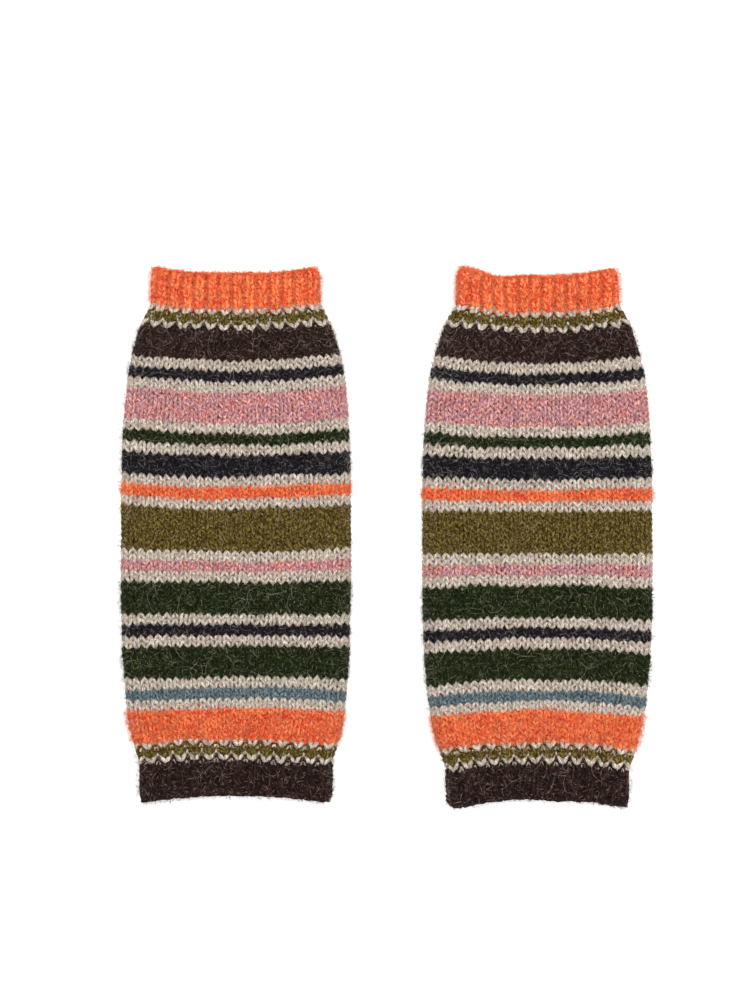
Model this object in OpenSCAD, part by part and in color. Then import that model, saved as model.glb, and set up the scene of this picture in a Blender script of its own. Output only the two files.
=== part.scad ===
// A pair of striped knitted fingerless gloves: two open tubes of wool that cover the hand and the
// wrist, lying flat side by side. Each glove is knitted in rows from end to end, and every stripe is
// a ring of rows in a yarn of its own, joined to its neighbours where their loops meet.
// X runs across the pair, +Y towards the hand ends and +Z up. The table is at z = 0.

/* [Gloves] */
// Width of a glove at its widest, lying flat
body_w = 111; // [90:1:135]
// Length that one row of knitting takes up
row_h = 2.5; // [2:0.05:3.2]
// Height of a flat glove at its sides, where the tube folds over
side_h = 11.5; // [10.5:0.5:16]
// How much higher a glove stands along its middle
crown_h = 1.5; // [0:0.1:3]
// Thickness of the knitted wall
wall = 3.2; // [2:0.1:4]
// Gap on the table between the two gloves at their widest
pair_gap = 32.5; // [10:0.5:80]

/* [Ribbed cuffs] */
// Width of the left glove at its hand cuff
left_hand_cuff_w = 81; // [65:1:100]
// Width of the right glove at its hand cuff
right_hand_cuff_w = 78; // [65:1:100]
// Width of the left glove at its arm cuff
left_arm_cuff_w = 93; // [70:1:105]
// Width of the right glove at its arm cuff
right_arm_cuff_w = 88; // [70:1:105]
// Length of the hand end that keeps the cuff's width
hand_hold = 18.5; // [5:0.5:25]
// Length of the arm end that keeps the cuff's width
arm_hold = 21; // [5:0.5:25]
// Length over which the fabric spreads two thirds of the way from a cuff's width to its full width
spread_l = 23.5; // [15:0.5:40]

/* [Lie of the rows] */
// How far the rows' sides reach past their middle at the left glove's hand end, as it was laid out
left_hand_bow = 3; // [0:0.1:6]
// The same for the right glove
right_hand_bow = 4.2; // [0:0.1:6]
// How far the rows' middle reaches past their sides at the left glove's arm end
left_arm_bow = 3; // [0:0.1:6]
// The same for the right glove
right_arm_bow = 4.4; // [0:0.1:6]
// Part of the left glove's length, from its hand end, where the bow starts to turn over
left_bow_turn = 0.3; // [0:0.05:0.7]
// The same for the right glove
right_bow_turn = 0; // [0:0.05:0.7]
// How much farther towards its arm end the right glove lies on the table
right_glove_back = 1.4; // [0:0.1:5]

/* [Side seam] */
// How far the seam's ridge stands in from the fold of the wall
seam_t = 1.4; // [0.8:0.1:1.6]

/* [Hidden] */
orange = "#e1633e";
olive = "#6f5c2a";
brown = "#3c2c27";
navy = "#2e3038";
pink = "#c48a8a";
green = "#2f3d22";
blue = "#5f7c86";
cream = "#c9b8a8";

gloves = ["left", "right"];

// From the hand end: the stripe's name, its colour, its rows, and the rows of cream that follow it
stripes = [
    ["hand_cuff_orange", orange, 7, 1],
    ["hand_rib_olive", olive, 2, 1],
    ["brown_stripe", brown, 6, 2],
    ["hand_navy_line", navy, 2, 2],
    ["pink_stripe", pink, 6, 2],
    ["green_line", green, 2, 2],
    ["navy_stripe", navy, 4, 2],
    ["orange_line", orange, 2, 2],
    ["olive_stripe", olive, 8, 2],
    ["pink_line", pink, 2, 2],
    ["wrist_green_stripe", green, 6, 2],
    ["arm_navy_line", navy, 2, 2],
    ["arm_green_stripe", green, 6, 2],
    ["blue_line", blue, 2, 2],
    ["arm_orange_stripe", orange, 6, 1],
    ["arm_rib_olive", olive, 2, 1],
    ["arm_cuff_brown", brown, 7, 0]
];
last_stripe = len(stripes) - 1;

// Rows worked before stripe i, and in the whole glove
function rows_before(i) = i == 0 ? 0 : rows_before(i - 1) + stripes[i - 1][2] + stripes[i - 1][3];
total_rows = rows_before(last_stripe) + stripes[last_stripe][2] + stripes[last_stripe][3];
glove_l = total_rows * row_h;

// Distances from the hand end at which stripe i starts and ends, and at which every stripe meets cream
function starts(i) = rows_before(i) * row_h;
function ends(i) = starts(i) + stripes[i][2] * row_h;
joins = [for (i = [0:last_stripe]) each [starts(i), ends(i)]];

// Width of glove g at distance s from its hand end: two cuffs that let the fabric spread to body_w
hand_cuff_w = [left_hand_cuff_w, right_hand_cuff_w];
arm_cuff_w = [left_arm_cuff_w, right_arm_cuff_w];
function pinch(d, hold) = exp(-max(0, d - hold) / spread_l);
function width_at(g, s) = body_w - (body_w - hand_cuff_w[g]) * pinch(s, hand_hold)
                                 - (body_w - arm_cuff_w[g]) * pinch(glove_l - s, arm_hold);

// How far a row's sides lie towards the hand end from its middle, at distance s along glove g
hand_bow = [left_hand_bow, right_hand_bow];
arm_bow = [left_arm_bow, right_arm_bow];
bow_turn = [left_bow_turn, right_bow_turn];
function ease(t) = let (u = min(max(t, 0), 1)) u * u * (3 - 2 * u);
function bow_at(g, s) =
    hand_bow[g] - (hand_bow[g] + arm_bow[g]) * ease((s / glove_l - bow_turn[g]) / (1 - bow_turn[g]));

// How far each glove's middle lies towards the hand end, which puts the middle of the pair at the origin
function y_reach(g) = (glove_l + hand_bow[g] + arm_bow[g]) / 2;
set_back = [0, right_glove_back];
y_mean = (max(y_reach(0), y_reach(1) - set_back[1]) - max(y_reach(0), y_reach(1) + set_back[1])) / 2;
function y_middle(g) = (arm_bow[g] - hand_bow[g]) / 2 - set_back[g] - y_mean;

// The tube's section: level along the bottom, round at the folds, crowned along the top
flat_n = 6;
fold_n = 6;
fold_r = side_h / 2;
function fold_angles() = [for (i = [1:fold_n - 1]) 90 - 180 * i / fold_n];

// A point of the section: c is the fold's centre line or a place between, turn is the angle above level
function wall_point(w, skin, c, out, turn) =
    let (x = c + out * (fold_r - skin) * cos(turn),
         crown = crown_h * (1 - pow(2 * x / w, 2)) * max(0, sin(turn)))
    [x, fold_r + (fold_r - skin) * sin(turn) + crown];

function section(w, skin) =
    let (a = w / 2 - fold_r)
    concat([for (i = [0:flat_n]) wall_point(w, skin, a * (2 * i / flat_n - 1), 0, 90)],
           [for (t = fold_angles()) wall_point(w, skin, a, 1, t)],
           [for (i = [0:flat_n]) wall_point(w, skin, a * (1 - 2 * i / flat_n), 0, -90)],
           [for (t = fold_angles()) wall_point(w, skin, -a, -1, -t)]);
section_n = 2 * (flat_n + fold_n);

// Section points of glove g, placed at distance s along it
function centre_x(g) = (g == 0 ? -1 : 1) * (body_w + pair_gap) / 2;
function placed(g, s, points) =
    let (w = width_at(g, s), y = glove_l / 2 - s + y_middle(g))
    [for (p = points) [centre_x(g) + p[0], y + bow_at(g, s) * pow(2 * p[0] / w, 2), p[1]]];

// Triangles that join two loops of n points, whose first points are a and b
function skirt(n, a, b) =
    [for (i = [0:n - 1]) let (k = (i + 1) % n) each [[a + i, a + k, b + k], [a + i, b + k, b + i]]];
function turned(faces) = [for (f = faces) [for (i = [len(f) - 1:-1:0]) f[i]]];

// One ring of knitting, from distance s0 to s1 along glove g
module knitted_ring(g, s0, s1) {
    n = section_n;
    points = [for (s = [s0, s1], skin = [0, wall]) each placed(g, s, section(width_at(g, s), skin))];
    polyhedron(points, concat(skirt(n, 0, 2 * n), turned(skirt(n, n, 3 * n)),
                              turned(skirt(n, 0, n)), skirt(n, 2 * n, 3 * n)));
}

// A stripe in its own yarn
module stripe(g, i) {
    color(stripes[i][1]) knitted_ring(g, starts(i), ends(i));
}

// The cream rows between the stripes: one ring after every stripe but the last
module cream_stripes(g) {
    color(cream) for (i = [0:last_stripe - 1]) knitted_ring(g, ends(i), starts(i + 1));
}

// The linked seam: a ridge of thread inside the outer fold, along the whole glove
function seam_section(w, out) =
    let (a = w / 2 - fold_r, step = 180 / fold_n, lip = out * (a + fold_r - wall - seam_t))
    concat([for (t = [step, 0, -step]) wall_point(w, wall, out * a, out, t)],
           [for (t = [-step, step]) [lip, wall_point(w, wall + seam_t, out * a, out, t)[1]]]);
seam_n = 5;

module side_seam(g) {
    out = g == 0 ? -1 : 1;
    n = seam_n;
    last = len(joins) - 1;
    points = [for (s = joins) each placed(g, s, seam_section(width_at(g, s), out))];
    sides = [for (j = [0:last - 1]) each skirt(n, j * n, (j + 1) * n)];
    caps = [[for (i = [0:n - 1]) n - 1 - i], [for (i = [0:n - 1]) last * n + i]];
    faces = concat(sides, caps);
    color(cream) polyhedron(points, out > 0 ? faces : turned(faces));
}

for (g = [0, 1]) {
    for (i = [0:last_stripe])
        stripe(g, i);
    cream_stripes(g);
    side_seam(g);
}
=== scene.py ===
import math

import bpy
import numpy as np
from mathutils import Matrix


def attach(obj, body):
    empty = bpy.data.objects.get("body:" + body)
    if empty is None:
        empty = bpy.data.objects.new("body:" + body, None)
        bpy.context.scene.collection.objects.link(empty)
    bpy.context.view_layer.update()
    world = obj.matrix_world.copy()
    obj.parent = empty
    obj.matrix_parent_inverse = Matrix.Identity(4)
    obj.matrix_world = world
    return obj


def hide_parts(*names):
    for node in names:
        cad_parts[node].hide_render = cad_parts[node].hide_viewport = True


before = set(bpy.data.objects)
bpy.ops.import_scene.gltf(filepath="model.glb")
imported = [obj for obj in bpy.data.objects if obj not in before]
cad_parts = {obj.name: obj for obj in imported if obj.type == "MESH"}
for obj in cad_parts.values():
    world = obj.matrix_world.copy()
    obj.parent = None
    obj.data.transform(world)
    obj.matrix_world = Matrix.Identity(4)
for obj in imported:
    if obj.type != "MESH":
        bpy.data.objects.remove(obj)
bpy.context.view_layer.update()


# The cast-on edge round the mouth of each arm cuff.
# Brown two-ply wool, looped over the needle once for each stitch, so that it lies along the mouth as a
# twisted rope. Everything else is knitted up from it, row by row, towards the fingers.

# The row chart, from the hand end: each stripe, its rows, and the cream rows between it and the next
chart = [
    ("hand_cuff_orange", 7, 1),
    ("hand_rib_olive", 2, 1),
    ("brown_stripe", 6, 2),
    ("hand_navy_line", 2, 2),
    ("pink_stripe", 6, 2),
    ("green_line", 2, 2),
    ("navy_stripe", 4, 2),
    ("orange_line", 2, 2),
    ("olive_stripe", 8, 2),
    ("pink_line", 2, 2),
    ("wrist_green_stripe", 6, 2),
    ("arm_navy_line", 2, 2),
    ("arm_green_stripe", 6, 2),
    ("blue_line", 2, 2),
    ("arm_orange_stripe", 6, 1),
    ("arm_rib_olive", 2, 1),
    ("arm_cuff_brown", 7, 0),
]
wales = 56
all_rows = sum(rows + cream_rows for _, rows, cream_rows in chart)

# Each glove is a tube of knitting laid flat: level on the table, round at its side folds, crowned on top
fold_r = 0.00575
wall = 0.0032
same_place = 2e-5


def outline(side):
    """The glove's middle line, and at both ends of each stripe how far along it lies, its half width, and
    how far its sides lie towards the hand end from its middle."""
    middle, edge, half = [], [], []
    for stripe, _, _ in chart:
        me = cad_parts[f"{side}_{stripe}"].data
        co = np.empty(len(me.vertices) * 3, np.float32)
        me.vertices.foreach_get("co", co)
        co = np.unique(co.reshape(-1, 3).astype(float).round(7), axis=0)
        centre = (co[:, 0].min() + co[:, 0].max()) / 2
        fold = co[(abs(co[:, 2] - fold_r) < same_place) & (co[:, 0] > centre)]
        fold = fold[np.argsort(-fold[:, 1])]
        ridge = co[(abs(co[:, 0] - centre) < same_place) & (co[:, 2] > 2 * fold_r)]
        for end in (fold[:2], fold[-2:]):
            outer = end[np.argmax(end[:, 0])]
            half.append(outer[0] - centre)
            edge.append(outer[1])
        middle += [ridge[:, 1].max(), ridge[:, 1].min()]
    middle = np.array(middle)
    return {
        "side": side,
        "centre": centre,
        "middle": middle,
        "at": middle[0] - middle,
        "half": np.array(half),
        "bow": np.array(edge) - middle,
        "crown": co[:, 2].max() - 2 * fold_r,
    }


def ripple(seed, waves, finest):
    """An uneven value of about -1 to 1 over wales and rows, which closes round the tube."""
    rng = np.random.default_rng(seed)
    round_tube = rng.integers(0, finest + 1, waves)
    per_row = rng.uniform(-finest, finest, waves) / wales
    phase = rng.uniform(0, 2 * math.pi, waves)

    def value(wale, row):
        total = 0
        for k, r, p in zip(round_tube, per_row, phase):
            total = total + np.cos(2 * math.pi * (k * wale / wales + r * row) + p)
        return total / math.sqrt(waves)

    return value


gloves = [outline("left"), outline("right")]
for number, glove in enumerate(gloves):
    glove["body"] = f"{glove['side']}_glove"
    glove["out"] = -1 if glove["side"] == "left" else 1
    glove["puff"] = ripple(10 + number, 9, 5)
    glove["sway"] = ripple(20 + number, 9, 7)
    glove["slip"] = ripple(30 + number, 9, 8)
    glove["hem"] = ripple(40 + number, 6, 4)
glove_l = gloves[0]["at"][-1]
row_h = glove_l / all_rows

# How unevenly the stitches lie, in wales, rows and metres
sway, slip, puff = 0.09, 0.13, 0.00024
# How many rows short of the full length each end is drawn in, and the rows over which that fades
gloves[0]["hand_tuck"], gloves[1]["hand_tuck"] = 1.35, 0.95
hand_tuck_rows = 5.0
arm_tuck, arm_tuck_rows = 1.5, 16.0
# How far the middle of each hand mouth stands out, the waves in every mouth, and how far both reach in
gloves[0]["mouth_rise"], gloves[1]["mouth_rise"] = 0.0006, -0.0006
hem_wave, hem_reach = 0.0008, 0.012
# How far the corners of the mouths are rounded off, and the length over which that fades
corner_nip, corner_reach = 0.0030, 0.0022


def lie(glove, wale, row, out):
    """Points on the flat tube, and the way the wall faces at each. Wales are counted round it from the
    outer fold, rows from the hand end, and out is the distance from the middle of the wall."""
    wale = wale + sway * glove["sway"](wale, row)
    row = row + slip * glove["slip"](wale, row)
    tucked = glove["hand_tuck"] * np.exp(-row / hand_tuck_rows)
    tucked = tucked - arm_tuck * np.exp((row - all_rows) / arm_tuck_rows)
    s = (row + tucked) * row_h
    near = np.clip(s, 0, glove_l)
    half = np.interp(near, glove["at"], glove["half"])
    half = half - corner_nip * np.exp(-np.minimum(near, glove_l - near) / corner_reach)
    flat, r = 2 * (half - fold_r), fold_r - wall / 2
    quarter = math.pi / 2 * r
    q = wale / wales % 1 * (2 * flat + 4 * quarter)
    far, under, last = quarter + flat, 3 * quarter + flat, 3 * quarter + 2 * flat
    spans = [q < quarter, q < far, q < under, q < last]
    turn = np.select(spans, [q / r, math.pi / 2, math.pi / 2 + (q - far) / r, 1.5 * math.pi],
                     1.5 * math.pi + (q - last) / r)
    hinge = np.select(spans, [0, quarter - q, -flat, q - under - flat], 0) + flat / 2
    nx, nz = np.cos(turn), np.sin(turn)
    nx = np.where(abs(nx) < 1e-9, 0, nx)
    out = out + puff * glove["puff"](wale, row) * (1 + nz) / 2
    x = hinge + (r + out) * nx
    across = 1 - (x / half) ** 2
    z = fold_r + (r + out) * nz + glove["crown"] * across * np.maximum(nz, 0)
    y = np.interp(near, glove["at"], glove["middle"]) + near - s
    y = y + np.interp(near, glove["at"], glove["bow"]) * (1 - across)
    y = y + glove["mouth_rise"] * across * np.exp(-near / hem_reach)
    at_mouth = np.exp(-near / hem_reach) + np.exp((near - glove_l) / hem_reach)
    y = y + hem_wave * glove["hem"](wale, row) * at_mouth
    points = np.stack([glove["centre"] + glove["out"] * x, y, z], -1)
    facing = np.stack([glove["out"] * nx, np.zeros_like(nx), nz], -1)
    return points, facing


def unit(v):
    return v / (np.linalg.norm(v, axis=-1, keepdims=True) + 1e-12)


# The yarn, and its thicker and thinner places, as a share of its radius and with their spacing in mm
yarn_sides = 6
yarn_r = 0.00078
slub, slub_every = 0.07, 9.0
table_gap = 0.00005
# Marks start at random in a fleece of this many mm, and the strands of a piece are numbered from a step
yarn_fleece, fibre_fleece, piece_step = 3000, 4000, 0.37
# UV map: a row's strand is this many times as long as the yarn is round. Then the gap at a strip's edge, the
# width, height and place of the patch for a strand's ends, and the height kept for the fluff.
strand_shape = 105
strip_gap = 0.08
end_patch, end_patch_at = (0.004, 0.4), 0.3
fluff_room = 0.06


def tube(points, facing, radius):
    """Rings of points round a path, and the spokes that they lie on. The first of each ring is on the side
    away from facing."""
    run = unit(np.gradient(points, axis=0))
    side = unit(np.cross(run, facing))
    over = np.cross(side, run)
    turn = math.pi + 2 * math.pi * np.arange(yarn_sides)[:, None] / yarn_sides
    spokes = np.cos(turn) * over[:, None] + np.sin(turn) * side[:, None]
    return points[:, None] + np.reshape(radius, (-1, 1, 1)) * spokes, spokes


def spin(strands, seed, rng):
    """The yarn of several strands: points, quads, yarn marks, UVs and spokes. A mark is the length along
    the strand in millimetres, the share of the way round it, and the strand's own number. In the UV map
    each strand is cut into pieces, which lie side by side as strips below the room for the fluff."""
    cuts = max(1, round(math.sqrt(strand_shape / len(strands))))
    strip_h = (1 - fluff_room) / (cuts * len(strands))
    verts, quads, marks, uvs, all_spokes = [], [], [], [], []
    base = 0
    for number, (points, facing, thick) in enumerate(strands):
        n = len(points)
        steps = np.linalg.norm(np.diff(points, axis=0), axis=1)
        along = np.concatenate([[0], np.cumsum(steps)]) * 1000
        knots = np.arange(0, along[-1] + slub_every, slub_every)
        slubs = np.interp(along, knots, rng.standard_normal(len(knots)))
        rings, spokes = tube(points, facing, yarn_r * thick * (1 + slub * slubs))
        rings[..., 2] = np.maximum(rings[..., 2], table_gap)
        verts.append(rings.reshape(-1, 3))
        all_spokes.append(spokes)
        mark = along[:, None] + rng.uniform(0, yarn_fleece)
        around = np.arange(yarn_sides) / yarn_sides
        own = number + piece_step * seed
        marks.append(np.stack(np.broadcast_arrays(mark, around, own), -1).reshape(-1, 3))
        i, j = np.arange(n - 1)[:, None] * yarn_sides, np.arange(yarn_sides)
        k = (j + 1) % yarn_sides
        quad = [i + j, i + k, i + yarn_sides + k, i + yarn_sides + j]
        quads.append(base + np.stack(quad, -1).reshape(-1, 4))
        for ring, order in ((0, 1), (n - 1, -1)):
            quads.append(base + ring * yarn_sides + np.array([[0, 3, 2, 1], [0, 5, 4, 3]])[:, ::order])
        long = (n - 1) / cuts
        cut = np.minimum((np.arange(n - 1) / long).astype(int), cuts - 1)
        u0 = (np.arange(n - 1) - cut * long) / long
        u1 = np.minimum(u0 + 1 / long, 1)
        share = (1 - 2 * strip_gap) / yarn_sides
        low = (number * cuts + cut[:, None] + strip_gap + share * j) * strip_h
        high = low + share * strip_h
        corners = ((u0, low), (u0, high), (u1, high), (u1, low))
        sides = [np.stack(np.broadcast_arrays(u[:, None], v), -1) for u, v in corners]
        uvs.append(np.stack(sides, 2).reshape(-1, 4, 2))
        patch = np.array([[0, 0], [1, 0], [1, 1], [0, 1]]) * end_patch + [0, number * cuts + end_patch_at]
        uvs.append(np.tile(patch * [1, strip_h], (4, 1, 1)))
        base += n * yarn_sides
    return [np.concatenate(parts) for parts in (verts, quads, marks, uvs, all_spokes)]


def mesh_piece(name, verts, quads, triangles, uvs, marks, material):
    """A mesh object from arrays: one UV for each corner, and named values for each point."""
    me = bpy.data.meshes.new(name)
    me.vertices.add(len(verts))
    me.vertices.foreach_set("co", verts.astype(np.float32).ravel())
    corners = np.concatenate([quads.ravel(), triangles.ravel()])
    sizes = np.repeat([4, 3], [len(quads), len(triangles)])
    me.loops.add(len(corners))
    me.loops.foreach_set("vertex_index", corners.astype(np.int32))
    me.polygons.add(len(sizes))
    me.polygons.foreach_set("loop_start", (np.cumsum(sizes) - sizes).astype(np.int32))
    me.update(calc_edges=True)
    me.polygons.foreach_set("use_smooth", np.ones(len(sizes), bool))
    me.uv_layers.new(name="OFBake").data.foreach_set("uv", uvs.astype(np.float32).ravel())
    kinds = (("yarn", "FLOAT_VECTOR", "vector"), ("loose", "FLOAT", "value"))
    for (label, kind, key), values in zip(kinds, marks):
        me.attributes.new(label, kind, "POINT").data.foreach_set(key, values.astype(np.float32).ravel())
    me.materials.append(material)
    piece = bpy.data.objects.new(name, me)
    bpy.context.scene.collection.objects.link(piece)
    return piece


# How far a fibre's tip bends aside, as a share of its reach. Then the size of its patch of the UV map, how
# far to the right that may start, and how far it stays from the top and from the strips below.
fibre_bend = 0.4
fibre_patch, patch_right, patch_top, patch_low = 0.004, 0.99, 0.008, 0.006


def fibres(roots, ways, bends, reach, radius, loose, seed, rng):
    """Loose fibres, each a bent spindle with a root, a waist of three points and a tip. Gives points,
    triangles, marks and UVs."""
    n = len(roots)
    reach, radius = reach[:, None], radius[:, None]
    cross = np.cross(ways, bends)
    waist = roots + ways * reach / 2 + bends * reach * (fibre_bend / 4)
    turn = 2 * math.pi * np.arange(3)[:, None, None] / 3
    ring = waist + radius * (np.cos(turn) * bends + np.sin(turn) * cross)
    tip = roots + ways * reach + bends * reach * fibre_bend
    verts = np.stack([roots, *ring, tip], 1)
    verts[..., 2] = np.maximum(verts[..., 2], table_gap)
    cone = np.array([[0, 2, 1], [0, 3, 2], [0, 1, 3], [4, 1, 2], [4, 2, 3], [4, 3, 1]])
    triangles = (cone + 5 * np.arange(n)[:, None, None]).reshape(-1, 3)
    mark = [rng.uniform(0, fibre_fleece, n), rng.uniform(0, 1, n), np.full(n, piece_step * seed)]
    across, down = rng.uniform(0, patch_right, n), rng.uniform(patch_top, fluff_room - patch_low, n)
    patch = fibre_patch * np.array([[0, 0], [1, 0], [1, 1], [0, 1], [0.3, 0.3]])
    uvs = np.stack([across, 1 - down], -1)[:, None] + patch
    marks = np.repeat(np.stack(mark, -1), 5, axis=0), np.repeat(loose, 5)
    return verts.reshape(-1, 3), triangles, marks, uvs[:, cone].reshape(-1, 2)


# How steeply fibres leave the yarn, standing or lying, and how hard those that lie are pressed back. How
# deep in the yarn they are rooted, and how far round its side. Their reach and their thickness, as shares of
# the nap's, both grow with how loose they are.
standing_lift, lying_lift = (0.5, 2.5), (0.1, 0.6)
lying_press = 2
root_depth, least_open = 0.95, -0.1
least_reach, loose_reach, most_reach = 0.35, 0.4, 3.0
reach_shape, reach_scale = 1.5, 0.35
least_thick, loose_thick = 0.65, 0.9


def fluff(strands, spokes, nap, seed, rng):
    """Fibres that have worked loose from the open side of the yarn, in its fatter half. Most are matted down
    over the stitches, and some stand off."""
    count = round(nap["fibres"] * sum(len(strand[0]) for strand in strands) / loop_steps)
    points, facing = (np.concatenate([strand[i] for strand in strands]) for i in (0, 1))
    fat = [thick >= np.median(thick) for _, _, thick in strands]
    front = np.flatnonzero(np.concatenate(fat))
    at = rng.choice(front, 2 * count)
    up = spokes[at, rng.integers(0, yarn_sides, 2 * count)]
    open_side = np.flatnonzero((up * facing[at]).sum(1) > least_open)[:count]
    at, up = at[open_side], up[open_side]
    n = len(at)
    out = facing[at]
    flat = rng.standard_normal((n, 3))
    flat = unit(flat - out * (flat * out).sum(1, keepdims=True))
    standing = rng.uniform(0, 1, (n, 1)) < nap["standing"]
    lift = np.where(standing, rng.uniform(*standing_lift, (n, 1)), rng.uniform(*lying_lift, (n, 1)))
    ways = unit(flat + lift * unit(up + out))
    bends = rng.standard_normal((n, 3)) - np.where(standing, 0, lying_press) * out
    bends = unit(bends - ways * (bends * ways).sum(1, keepdims=True))
    loose = rng.uniform(0.01, 1, n)
    reach = least_reach + rng.gamma(reach_shape, reach_scale, n) + loose_reach * loose**2
    reach = nap["length"] * np.minimum(reach, most_reach)
    thick = nap["thick"] * (least_thick + loose_thick * loose**2)
    roots = points[at] + root_depth * yarn_r * nap["loft"] * up
    return fibres(roots, ways, bends, reach, thick, loose, seed, rng)


def yarn_piece(name, strands, material, nap, seed):
    """A piece made of strands, with its fluff. The nap is the fibres on each stitch, their length, their
    thickness at the waist, the share of them that stand off, and how much they loft the yarn."""
    rng = np.random.default_rng(seed)
    strands = [(points, facing, nap["loft"] * thick) for points, facing, thick in strands]
    verts, quads, yarn, uvs, spokes = spin(strands, seed, rng)
    f_verts, triangles, (f_yarn, loose), f_uvs = fluff(strands, spokes, nap, seed, rng)
    marks = np.concatenate([yarn, f_yarn]), np.concatenate([np.zeros(len(verts)), loose])
    uvs = np.concatenate([uvs.reshape(-1, 2), f_uvs])
    triangles = triangles + len(verts)
    return mesh_piece(name, np.concatenate([verts, f_verts]), quads, triangles, uvs, marks, material)


# In the cuffs every other stitch is purled. It sinks back, and the plain stitches close over it. The rows
# of ribbing at each end and those over which it settles, then the change in wales, in depth in metres, and
# how suddenly and where the yarn dives from a plain stitch to a purled one
rib_rows, rib_settles = 11.4, 1.2
rib_spread, rib_sink, rib_dive, rib_tip = 0.17, 0.0017, 4.0, 0.36


def ribbing(row):
    """1 where the rows are ribbed and 0 where they are plain, with a soft change between."""
    into = np.minimum(row, all_rows - row) - rib_rows
    return 1 / (1 + np.exp(into * 4 / rib_settles))


def ribbed(wale, row, depth):
    """A strand's wales and depths, as the ribbing draws them: plain stitches keep their face, and purled
    ones turn their back and sink."""
    rib = ribbing(row)
    plain = np.clip(rib_dive * (np.sin(math.pi * wale) - rib_tip), -1, 1)
    face = 1 - rib + rib * plain
    depth = depth * face + rib * rib_sink * (plain - 1) / 2
    return wale - rib * rib_spread * np.cos(math.pi * wale), depth


loop_steps = 12
rope_r, rope_swell = 0.0006, 0.9
# How many rows past the first and the last row the ropes lie
edge_gap = 0.35


def edge_rope(glove, row):
    """The two plies of loops that lie along a mouth."""
    t = np.linspace(0, wales, wales * loop_steps // 2 + 1)
    plies = []
    for ply in (0, math.pi):
        turn = math.pi * t + ply
        wale, depth = ribbed(t, row + 0 * t, rope_r * np.cos(turn))
        points, facing = lie(glove, wale, row + rope_r / row_h * np.sin(turn), depth)
        plies.append((points, facing, rope_swell + 0 * t))
    return plies


def colour(r, g, b):
    """A colour given as the eye reads it, from 0 to 255, for a shader."""
    return (*(((c / 255 + 0.055) / 1.055) ** 2.4 if c > 10 else c / 255 / 12.92 for c in (r, g, b)), 1)


def maths(tree, kind, a, b=None):
    node = tree.nodes.new("ShaderNodeMath")
    node.operation = kind
    for socket, value in zip(node.inputs, (a, b)):
        if isinstance(value, (int, float)):
            socket.default_value = value
        elif value:
            tree.links.new(value, socket)
    return node.outputs[0]


def mixed(tree, share, a, b):
    node = tree.nodes.new("ShaderNodeMix")
    node.data_type = "RGBA"
    for socket, value in ((node.inputs["Factor"], share), (node.inputs[6], a), (node.inputs[7], b)):
        tree.links.new(value, socket)
    return node.outputs[2]


def noise(tree, x, y, z, detail):
    place = tree.nodes.new("ShaderNodeCombineXYZ")
    for socket, value in zip(place.inputs, (x, y, z)):
        tree.links.new(value, socket)
    node = tree.nodes.new("ShaderNodeTexNoise")
    node.inputs["Scale"].default_value = 1
    node.inputs["Detail"].default_value = detail
    tree.links.new(place.outputs[0], node.inputs["Vector"])
    return node.outputs["Fac"]


def stepped(tree, value, low, high):
    node = tree.nodes.new("ShaderNodeMapRange")
    node.interpolation_type = "SMOOTHSTEP"
    tree.links.new(value, node.inputs["Value"])
    node.inputs["From Min"].default_value = low
    node.inputs["From Max"].default_value = high
    return node.outputs["Result"]


def attribute(tree, name):
    node = tree.nodes.new("ShaderNodeAttribute")
    node.attribute_name = name
    return node


def yarn_place(tree):
    split = tree.nodes.new("ShaderNodeSeparateXYZ")
    tree.links.new(attribute(tree, "yarn").outputs["Vector"], split.inputs[0])
    return split.outputs


def node_group(name, colours, values, result, kind):
    tree = bpy.data.node_groups.new(name, "ShaderNodeTree")
    for label in colours:
        tree.interface.new_socket(label, in_out="INPUT", socket_type="NodeSocketColor")
    for label in values:
        tree.interface.new_socket(label, in_out="INPUT", socket_type="NodeSocketFloat")
    tree.interface.new_socket(result, in_out="OUTPUT", socket_type=kind)
    return tree, tree.nodes.new("NodeGroupInput").outputs, tree.nodes.new("NodeGroupOutput").inputs


def heather():
    """Colour of carded wool: dyed fleeces drawn out along the yarn, in flecks, patches and slow drifts. Each
    layer gives its cycles per mm of yarn, its turns round it, its place in the noise and its detail."""
    colours = ("Main", "Light", "Dark", "Accent", "Loose")
    shares = ("Flecks", "Patches", "Drift")
    tree, given, out = node_group("heathered_wool", colours, shares, "Colour", "NodeSocketColor")
    along, around, strand = yarn_place(tree)
    seed = maths(tree, "MULTIPLY", strand, 7.3)

    def layer(per_mm, twist, shift, detail):
        turned = maths(tree, "MULTIPLY", around, twist)
        drawn = maths(tree, "ADD", maths(tree, "MULTIPLY", along, per_mm), turned)
        return noise(tree, drawn, turned, maths(tree, "ADD", seed, shift), detail)

    fleck = stepped(tree, layer(1.2, 6.5, 0.0, 1.5), 0.49, 0.60)
    speck = stepped(tree, layer(1.1, 6.0, 31.0, 1.5), 0.50, 0.61)
    patch = stepped(tree, layer(0.07, 0.3, 57.0, 1.0), 0.42, 0.60)
    drift = stepped(tree, layer(0.012, 0.0, 83.0, 1.0), 0.38, 0.62)
    either = maths(tree, "ADD", maths(tree, "MULTIPLY", patch, given["Patches"]),
                   maths(tree, "MULTIPLY", drift, given["Drift"]))
    shade = mixed(tree, maths(tree, "MINIMUM", either, 1.0), given["Main"], given["Accent"])
    shade = mixed(tree, maths(tree, "MULTIPLY", speck, given["Flecks"]), shade, given["Dark"])
    shade = mixed(tree, maths(tree, "MULTIPLY", fleck, given["Flecks"]), shade, given["Light"])
    stray = stepped(tree, attribute(tree, "loose").outputs["Fac"], 0.7, 1.0)
    tree.links.new(mixed(tree, stray, shade, given["Loose"]), out["Colour"])
    return tree


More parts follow.
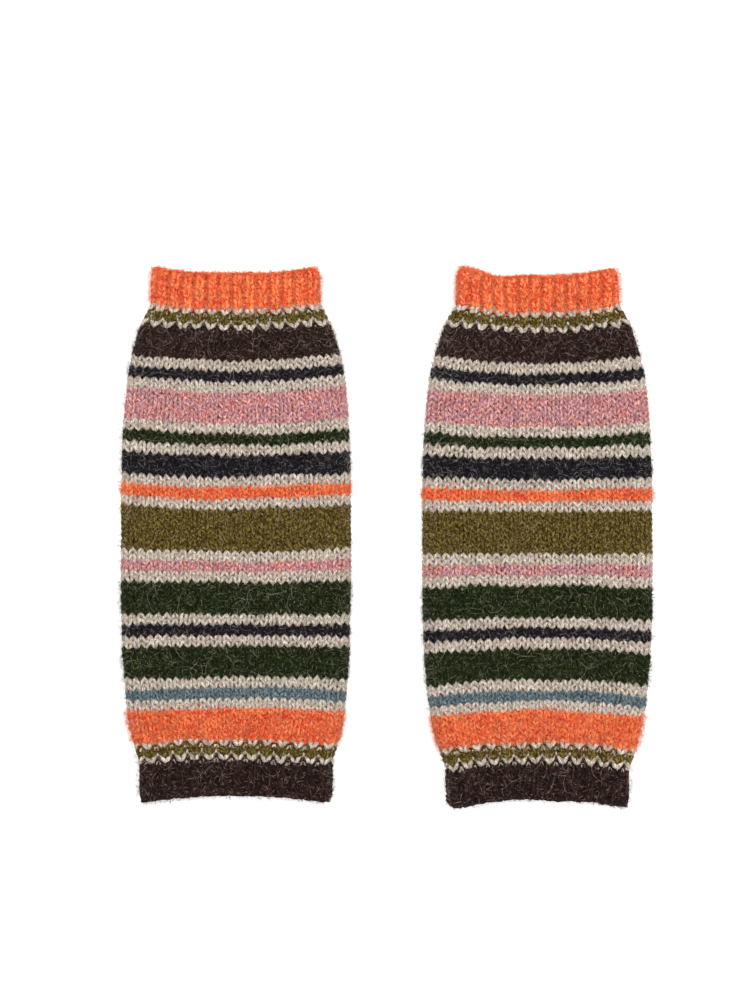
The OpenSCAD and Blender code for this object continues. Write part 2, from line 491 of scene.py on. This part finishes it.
twist_mm = 3.4


def plied():
    """The twist of the yarn's two plies and the fibres in them, as a normal."""
    tree, given, out = node_group("plied_yarn", (), ("Depth",), "Normal", "NodeSocketVector")
    along, around, strand = yarn_place(tree)
    twisted = maths(tree, "MULTIPLY", along, math.pi / twist_mm)
    lay = maths(tree, "ADD", twisted, maths(tree, "MULTIPLY", around, 2 * math.pi))
    ply = maths(tree, "ABSOLUTE", maths(tree, "SINE", lay))
    streaks = maths(tree, "MULTIPLY", along, 1.2), maths(tree, "MULTIPLY", around, 14.0)
    hairs = noise(tree, *streaks, strand, 2.0)
    bump = tree.nodes.new("ShaderNodeBump")
    bump.inputs["Distance"].default_value = 0.0003
    tree.links.new(given["Depth"], bump.inputs["Strength"])
    tree.links.new(maths(tree, "ADD", ply, hairs), bump.inputs["Height"])
    tree.links.new(bump.outputs["Normal"], out["Normal"])
    return tree


heathered_wool = heather()
plied_yarn = plied()


def wool(name, main, light, dark, accent, loose, flecks, patches, drift, sheen):
    """Wool of one shade, which is a heather of five. Flecks, patches and drift are shares of the yarn."""
    material = bpy.data.materials.new(name)
    material.use_nodes = True
    tree = material.node_tree
    shader = tree.nodes["Principled BSDF"]
    shader.inputs["Roughness"].default_value = 0.92
    shader.inputs["Specular IOR Level"].default_value = 0.2
    shader.inputs["Sheen Weight"].default_value = sheen
    shader.inputs["Sheen Roughness"].default_value = 0.5
    shader.inputs["Sheen Tint"].default_value = colour(*light)
    shade = tree.nodes.new("ShaderNodeGroup")
    shade.node_tree = heathered_wool
    fleeces = (("Main", main), ("Light", light), ("Dark", dark), ("Accent", accent), ("Loose", loose))
    for label, rgb in fleeces:
        shade.inputs[label].default_value = colour(*rgb)
    for label, share in (("Flecks", flecks), ("Patches", patches), ("Drift", drift)):
        shade.inputs[label].default_value = share
    tree.links.new(shade.outputs["Colour"], shader.inputs["Base Color"])
    twist = tree.nodes.new("ShaderNodeGroup")
    twist.node_tree = plied_yarn
    twist.inputs["Depth"].default_value = 0.5
    tree.links.new(twist.outputs["Normal"], shader.inputs["Normal"])
    return material


brown = wool("brown_wool", main=(12, 7, 7), light=(72, 48, 41), dark=(2, 1, 1),
             accent=(40, 19, 14), loose=(168, 143, 132), flecks=0.75, patches=0.6, drift=0.3, sheen=0.0)
hairy = {"fibres": 40, "length": 0.0026, "thick": 0.000062, "standing": 0.15, "loft": 1.02}

for number, glove in enumerate(gloves):
    rope = edge_rope(glove, all_rows + edge_gap)
    piece = yarn_piece(f"{glove['side']}_cast_on_edge", rope, brown, hairy, 100 * number + 98)
    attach(piece, glove["body"])


# The brown arm cuffs, and the brown stripe next to the hand cuff.
# A heather of dark, reddish and grey fleece, the hairiest wool here. One strand makes one row of 56 loops,
# each drawn up through the loop of the row before it, so that its two legs show as a V.

# How far a loop reaches from the middle of its row, in rows, how far its legs lean, in wales, and how deep
# it passes, in metres. The yarn is fatter in the legs, and in the ribbing both it and the loops are bigger.
loop_reach, leg_lean, loop_depth = 0.86, 0.26, 0.0008
leg_swell, rib_swell, rib_reach = 0.1, 0.24, 0.18
# How unevenly a row is knitted: the first three as shares, then the loops' places in wales and in rows
lean_varies, reach_varies, depth_varies = 0.2, 0.12, 0.1
wale_strays, row_strays = 0.045, 0.1
# How far a row's ends are tucked in at the seam, and over how many wales
seam_tuck, seam_tuck_wales = 0.0013, 0.5


def row_strand(glove, row, rng):
    """The strand of one row: its points, the way the wall faces there, and how thick the yarn is."""
    t = np.linspace(0, 2 * math.pi * wales, wales * loop_steps + 1)
    stitch = np.arange(wales + 1) + 0.5
    middle = row + 0.5
    rib = ribbing(middle)

    def uneven(amount):
        return np.interp(t / (2 * math.pi), stitch, 1 + amount * rng.standard_normal(wales + 1))

    wale = t / (2 * math.pi) + leg_lean * uneven(lean_varies) * np.sin(2 * t)
    wale = wale + wale_strays * (uneven(1) - 1)
    reach = loop_reach * (1 + rib_reach * rib) * uneven(reach_varies)
    along = middle + reach * np.cos(t) + row_strays * (uneven(1) - 1)
    tuck = seam_tuck * np.exp(-((np.minimum(wale, wales - wale) / seam_tuck_wales) ** 2))
    wale, depth = ribbed(wale, middle, -loop_depth * np.cos(2 * t) * uneven(depth_varies))
    swell = 1 - leg_swell * np.cos(2 * t) + rib_swell * rib
    return *lie(glove, wale, along, depth - tuck), swell


def knit(name, stripe_rows, material, nap):
    """Rows of one wool on both gloves, in place of the plain rings of that name. stripe_rows gives the
    first row and the number of rows of each stripe."""
    for number, glove in enumerate(gloves):
        for order, (first, rows) in enumerate(stripe_rows):
            seed = 100 * number + first
            rng = np.random.default_rng(seed + 5000)
            strands = [row_strand(glove, row, rng) for row in range(first, first + rows)]
            node = f"{glove['side']}_{name}"
            called = f"{node}_{order}" if len(stripe_rows) > 1 else node
            piece = yarn_piece(f"{called}_knit", strands, material, nap, seed)
            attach(piece, glove["body"])
            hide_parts(node)


def rows_of(name):
    """The first row of a stripe, and how many rows it has."""
    place = [stripe for stripe, _, _ in chart].index(name)
    return sum(rows + cream_rows for _, rows, cream_rows in chart[:place]), chart[place][1]


def knit_stripe(name, material, nap):
    knit(name, [rows_of(name)], material, nap)


knit_stripe("arm_cuff_brown", brown, hairy)
knit_stripe("brown_stripe", brown, hairy)


# The cream rows, one or two of them between every two stripes.
# Undyed two-ply wool, smoother than the dyed wools, so that each stitch shows. One long strand is carried up
# inside the fold from band to band.

cream = wool("cream_wool", main=(184, 170, 156), light=(236, 226, 213), dark=(132, 118, 106),
             accent=(182, 165, 149), loose=(238, 231, 222), flecks=0.8, patches=0.5, drift=0.3, sheen=0.04)
bands = [(sum(rows_of(stripe)), cream_rows) for stripe, _, cream_rows in chart if cream_rows]
smooth = {"fibres": 20, "length": 0.0016, "thick": 0.00006, "standing": 0.12, "loft": 1.04}
knit("cream_stripes", bands, cream, smooth)


# Olive: the two ribbed lines beside the cuffs, and the widest stripe of all.
# Yellow-green and brown fleece, carded together before it was spun, and knitted on from the cream rows.

olive = wool("olive_wool", main=(73, 56, 12), light=(143, 124, 63), dark=(24, 16, 1),
             accent=(66, 46, 10), loose=(186, 168, 112), flecks=0.8, patches=0.5, drift=0.3, sheen=0.02)
soft = {"fibres": 27, "length": 0.0019, "thick": 0.000065, "standing": 0.12, "loft": 1.03}
knit_stripe("arm_rib_olive", olive, soft)
knit_stripe("hand_rib_olive", olive, soft)
knit_stripe("olive_stripe", olive, soft)


# Orange: the hand cuff with its cast-off edge, the stripe above the arm cuff, and the line at the middle.
# Soft lofty wool of red, orange and yellow fleece, with a thick halo. The last row is cast off loosely, so
# that its loops lie along the mouth as a rope.

orange = wool("orange_wool", main=(226, 56, 34), light=(255, 164, 108), dark=(172, 20, 12),
              accent=(246, 124, 62), loose=(255, 172, 132), flecks=0.8, patches=0.75, drift=0.4, sheen=0.04)
lofty = {"fibres": 54, "length": 0.0023, "thick": 0.00008, "standing": 0.3, "loft": 1.12}
knit_stripe("arm_orange_stripe", orange, lofty)
knit_stripe("orange_line", orange, lofty)
knit_stripe("hand_cuff_orange", orange, lofty)
for number, glove in enumerate(gloves):
    rope = edge_rope(glove, -edge_gap)
    piece = yarn_piece(f"{glove['side']}_cast_off_edge", rope, orange, lofty, 100 * number + 99)
    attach(piece, glove["body"])


# Light blue: one line near the arm end.
# Blue and grey fleece, two rows of it, knitted between cream.

blue = wool("blue_wool", main=(84, 104, 112), light=(140, 154, 158), dark=(38, 50, 58),
            accent=(72, 90, 98), loose=(160, 168, 168), flecks=0.75, patches=0.5, drift=0.3, sheen=0.03)
knit_stripe("blue_line", blue, soft)


# Dark green: two wide stripes and a line.
# Bottle-green wool with yellow-green and near-black fibres in it, nearly as hairy as the brown.

green = wool("green_wool", main=(12, 16, 2), light=(52, 62, 24), dark=(2, 3, 1),
             accent=(17, 38, 8), loose=(146, 150, 112), flecks=0.7, patches=0.5, drift=0.4, sheen=0.0)
for stripe in ("arm_green_stripe", "wrist_green_stripe", "green_line"):
    knit_stripe(stripe, green, hairy)


# Navy: one stripe and two lines.
# Dark blue fleece with black and a little grey, as hairy as the brown.

navy = wool("navy_wool", main=(8, 7, 12), light=(46, 42, 49), dark=(1, 1, 2),
            accent=(20, 16, 18), loose=(152, 147, 150), flecks=0.7, patches=0.5, drift=0.3, sheen=0.0)
for stripe in ("arm_navy_line", "navy_stripe", "hand_navy_line"):
    knit_stripe(stripe, navy, hairy)


# Pink: one wide stripe and a line.
# A marl of salmon and mauve fleece, which drifts from one to the other along the strand.

pink = wool("pink_wool", main=(201, 116, 108), light=(243, 194, 182), dark=(130, 58, 62),
            accent=(172, 124, 142), loose=(232, 196, 188), flecks=0.8, patches=0.7, drift=0.6, sheen=0.04)
for stripe in ("pink_line", "pink_stripe"):
    knit_stripe(stripe, pink, soft)


# The seam that closes each glove along its outer fold.
# Cream thread, thinner than the yarn, linked through the edge stitches of both sides in one long spiral, on
# the inside.

# The thread's thickness as a share of the yarn's, the spiral's half width in wales and in metres, its steps
# in a row, and how many rows it stops short of each mouth
seam_thick, seam_wale, seam_depth = 0.55, 0.3, 0.0008
seam_per_row, seam_short = 6, 0.3
thread = wool("seam_thread", main=(196, 181, 167), light=(222, 208, 194), dark=(168, 150, 136),
              accent=(188, 168, 150), loose=(226, 216, 204), flecks=0.5, patches=0.4, drift=0.3, sheen=0.06)
for number, glove in enumerate(gloves):
    row = np.linspace(seam_short, all_rows - seam_short, all_rows * seam_per_row)
    turn = 2 * math.pi * row
    depth = -wall / 2 - seam_depth + seam_depth * np.cos(turn)
    points, facing = lie(glove, wales + seam_wale * np.sin(turn), row, depth)
    links = [(points, facing, seam_thick + 0 * row)]
    piece = yarn_piece(f"{glove['side']}_side_seam_links", links, thread, smooth, 100 * number + 97)
    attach(piece, glove["body"])
    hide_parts(f"{glove['side']}_side_seam")


# The loose hairs of each glove.
# Long pale guard hairs from the fleece, which lie in curls over the stitches, a haze of fine undyed fibres
# that stands off the side folds, and an orange halo on the hand mouth and the orange stripes.

# Guard hairs: how many, their length in steps, the size of a step, and their thickness. Each has its own
# curl, and wanders from it.
hair_count, hair_steps, hair_step, hair_r = 400, (6, 17), 0.0009, 0.000045
hair_curl, hair_wander = 0.14, 0.12
wale_w = 0.0039
# How far out of the wall's middle they lie, how much more they may arch up, and how many rows they keep off
# the mouths. Their thickness follows a half wave that is cut short by these angles at the root and the tip.
hair_lift, hair_arch, hair_clear = 0.0019, 0.0007, 4
hair_root, hair_tip = 0.25, 0.15


def guard_hairs(glove, rng):
    """Curling paths over the knitting, as strands."""
    strands = []
    for _ in range(hair_count):
        steps = rng.integers(*hair_steps)
        way = rng.uniform(0, 2 * math.pi)
        way = way + np.cumsum(rng.normal(rng.normal(0, hair_curl), hair_wander, steps))
        wale = rng.uniform(0, wales) + np.cumsum(np.cos(way)) * hair_step / wale_w
        row = rng.uniform(hair_clear, all_rows - hair_clear) + np.cumsum(np.sin(way)) * hair_step / row_h
        lift = hair_lift + hair_arch * np.sin(np.linspace(0, math.pi, steps)) * rng.uniform(0, 1)
        taper = np.sin(np.linspace(hair_root, math.pi - hair_tip, steps)) ** 0.5
        strands.append((*lie(glove, wale, np.clip(row, 0, all_rows), lift), hair_r / yarn_r * taper))
    return strands


# Fine fibres: how thick, how far out of the wall's middle they are rooted, how much they spread, the longest
# of them, and how their lengths vary
haze_r, haze_root, haze_spread, haze_most = 0.00003, 0.0012, 0.55, 0.006
haze_shape, haze_scale = 2.0, 0.4
# How many stand off the folds, their reach, and how far round the folds they are scattered, in wales
side_count, side_reach, side_scatter = 6500, 0.0022, 0.7
# The same for the orange halo. A share of it is on the mouth, where it leans out and is scattered over some
# rows, and a share of the rest is down the sides of the cuff.
halo_count, halo_reach, halo_scatter = 2200, 0.0016, 0.6
mouth_share, mouth_lean, mouth_rows = 0.65, 3, 0.3
cuff_share = 0.55


def haze(glove, wale, row, lean, reach, seed, rng):
    """Fine fibres that stand off the wool. Lean is how far they tilt out over the hand mouth."""
    n = len(wale)
    roots, facing = lie(glove, wale, row, haze_root)
    toward_hand = np.array([0, 1, 0])
    ways = unit(facing + lean[:, None] * toward_hand + haze_spread * rng.standard_normal((n, 3)))
    bends = rng.standard_normal((n, 3))
    bends = unit(bends - ways * (bends * ways).sum(1, keepdims=True))
    reach = np.minimum(reach * (1 + rng.gamma(haze_shape, haze_scale, n)), haze_most)
    return fibres(roots, ways, bends, reach, np.full(n, haze_r), rng.uniform(0.01, 1, n), seed, rng)


def near_folds(count, scatter, rng):
    """Wales near the two side folds."""
    return rng.integers(0, 2, count) * wales / 2 + rng.normal(0, scatter, count)


def side_haze(glove, seed, rng):
    wale = near_folds(side_count, side_scatter, rng)
    row = rng.uniform(0, all_rows, side_count)
    return haze(glove, wale, row, 0 * wale, side_reach, seed, rng)


def orange_halo(glove, seed, rng):
    at_mouth = rng.uniform(0, 1, halo_count) < mouth_share
    fold = near_folds(halo_count, halo_scatter, rng)
    wale = np.where(at_mouth, rng.uniform(0, wales, halo_count), fold)
    on_cuff = rng.uniform(0, 1, halo_count) < cuff_share
    stripes = rows_of("hand_cuff_orange"), rows_of("arm_orange_stripe")
    cuff_row, arm_row = (rng.uniform(first, first + rows, halo_count) for first, rows in stripes)
    row = rng.uniform(-mouth_rows, mouth_rows, halo_count)
    row = np.where(at_mouth, row, np.where(on_cuff, cuff_row, arm_row))
    return haze(glove, wale, row, mouth_lean * at_mouth, halo_reach, seed, rng)


pale = wool("pale_hair", main=(178, 166, 156), light=(214, 202, 190), dark=(136, 124, 116),
            accent=(190, 168, 150), loose=(255, 240, 216), flecks=0.3, patches=0.6, drift=0.3, sheen=0.1)
for number, glove in enumerate(gloves):
    seed = 100 * number + 96
    rng = np.random.default_rng(seed)
    verts, quads, yarn, uvs, _ = spin(guard_hairs(glove, rng), seed, rng)
    h_verts, triangles, (h_yarn, loose), h_uvs = side_haze(glove, seed, rng)
    marks = np.concatenate([yarn, h_yarn]), np.concatenate([np.zeros(len(verts)), loose])
    uvs = np.concatenate([uvs.reshape(-1, 2), h_uvs])
    triangles = triangles + len(verts)
    verts = np.concatenate([verts, h_verts])
    piece = mesh_piece(f"{glove['side']}_loose_hairs", verts, quads, triangles, uvs, marks, pale)
    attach(piece, glove["body"])

    verts, triangles, marks, uvs = orange_halo(glove, seed + 50, rng)
    no_quads = np.empty((0, 4), int)
    piece = mesh_piece(f"{glove['side']}_orange_halo", verts, no_quads, triangles, uvs, marks, orange)
    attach(piece, glove["body"])


# The table, the light and the camera.
# A white table under two large soft lights, and the camera straight above.

floor_half, floor_z = 12, -0.0001
corners = [(x * floor_half, y * floor_half, floor_z) for x, y in ((-1, -1), (1, -1), (1, 1), (-1, 1))]
floor = bpy.data.objects.new("floor", bpy.data.meshes.new("floor"))
floor.data.from_pydata(corners, [], [(0, 1, 2, 3)])
bpy.context.scene.collection.objects.link(floor)
paper = bpy.data.materials.new("paper")
paper.use_nodes = True
sheet = paper.node_tree.nodes["Principled BSDF"]
sheet.inputs["Base Color"].default_value = (0.96, 0.96, 0.96, 1)
sheet.inputs["Roughness"].default_value = 0.95
sheet.inputs["Emission Color"].default_value = (1, 1, 1, 1)
sheet.inputs["Emission Strength"].default_value = 0.7
floor.data.materials.append(paper)

# The room lights the gloves softly, and past the table's edge it shows as a white wall
world = bpy.data.worlds.new("studio")
world.use_nodes = True
room = world.node_tree
glow = room.nodes["Background"]
wall_white = room.nodes.new("ShaderNodeBackground")
for shader, strength in ((glow, 0.45), (wall_white, 1.0)):
    shader.inputs["Color"].default_value = (1, 1, 1, 1)
    shader.inputs["Strength"].default_value = strength
seen = room.nodes.new("ShaderNodeMixShader")
room.links.new(room.nodes.new("ShaderNodeLightPath").outputs["Is Camera Ray"], seen.inputs[0])
room.links.new(glow.outputs[0], seen.inputs[1])
room.links.new(wall_white.outputs[0], seen.inputs[2])
room.links.new(seen.outputs[0], room.nodes["World Output"].inputs["Surface"])
bpy.context.scene.world = world
bpy.context.scene.view_settings.view_transform = "Standard"

# Each light's place over the table, and how far it is tipped back and sideways towards the gloves
for name, x, y, tilt, lean in (("key", -0.55, 0.75, -24, -18), ("fill", 0.7, 0.3, -9, 24)):
    light = bpy.data.lights.new(name, "AREA")
    light.energy = 17.5
    light.size = 1.2
    lamp = bpy.data.objects.new(name, light)
    lamp.location = (x, y, 1.6)
    lamp.rotation_euler = (math.radians(tilt), math.radians(lean), 0)
    bpy.context.scene.collection.objects.link(lamp)

lens = bpy.data.cameras.new("camera")
lens.lens = 85
lens.sensor_fit = "VERTICAL"
lens.sensor_height = 36
view_x, view_y, view_h = -0.0055, 0.01815, 0.4762
camera = bpy.data.objects.new("camera", lens)
camera.location = (view_x, view_y, view_h * lens.lens / lens.sensor_height)
bpy.context.scene.collection.objects.link(camera)
bpy.context.scene.camera = camera
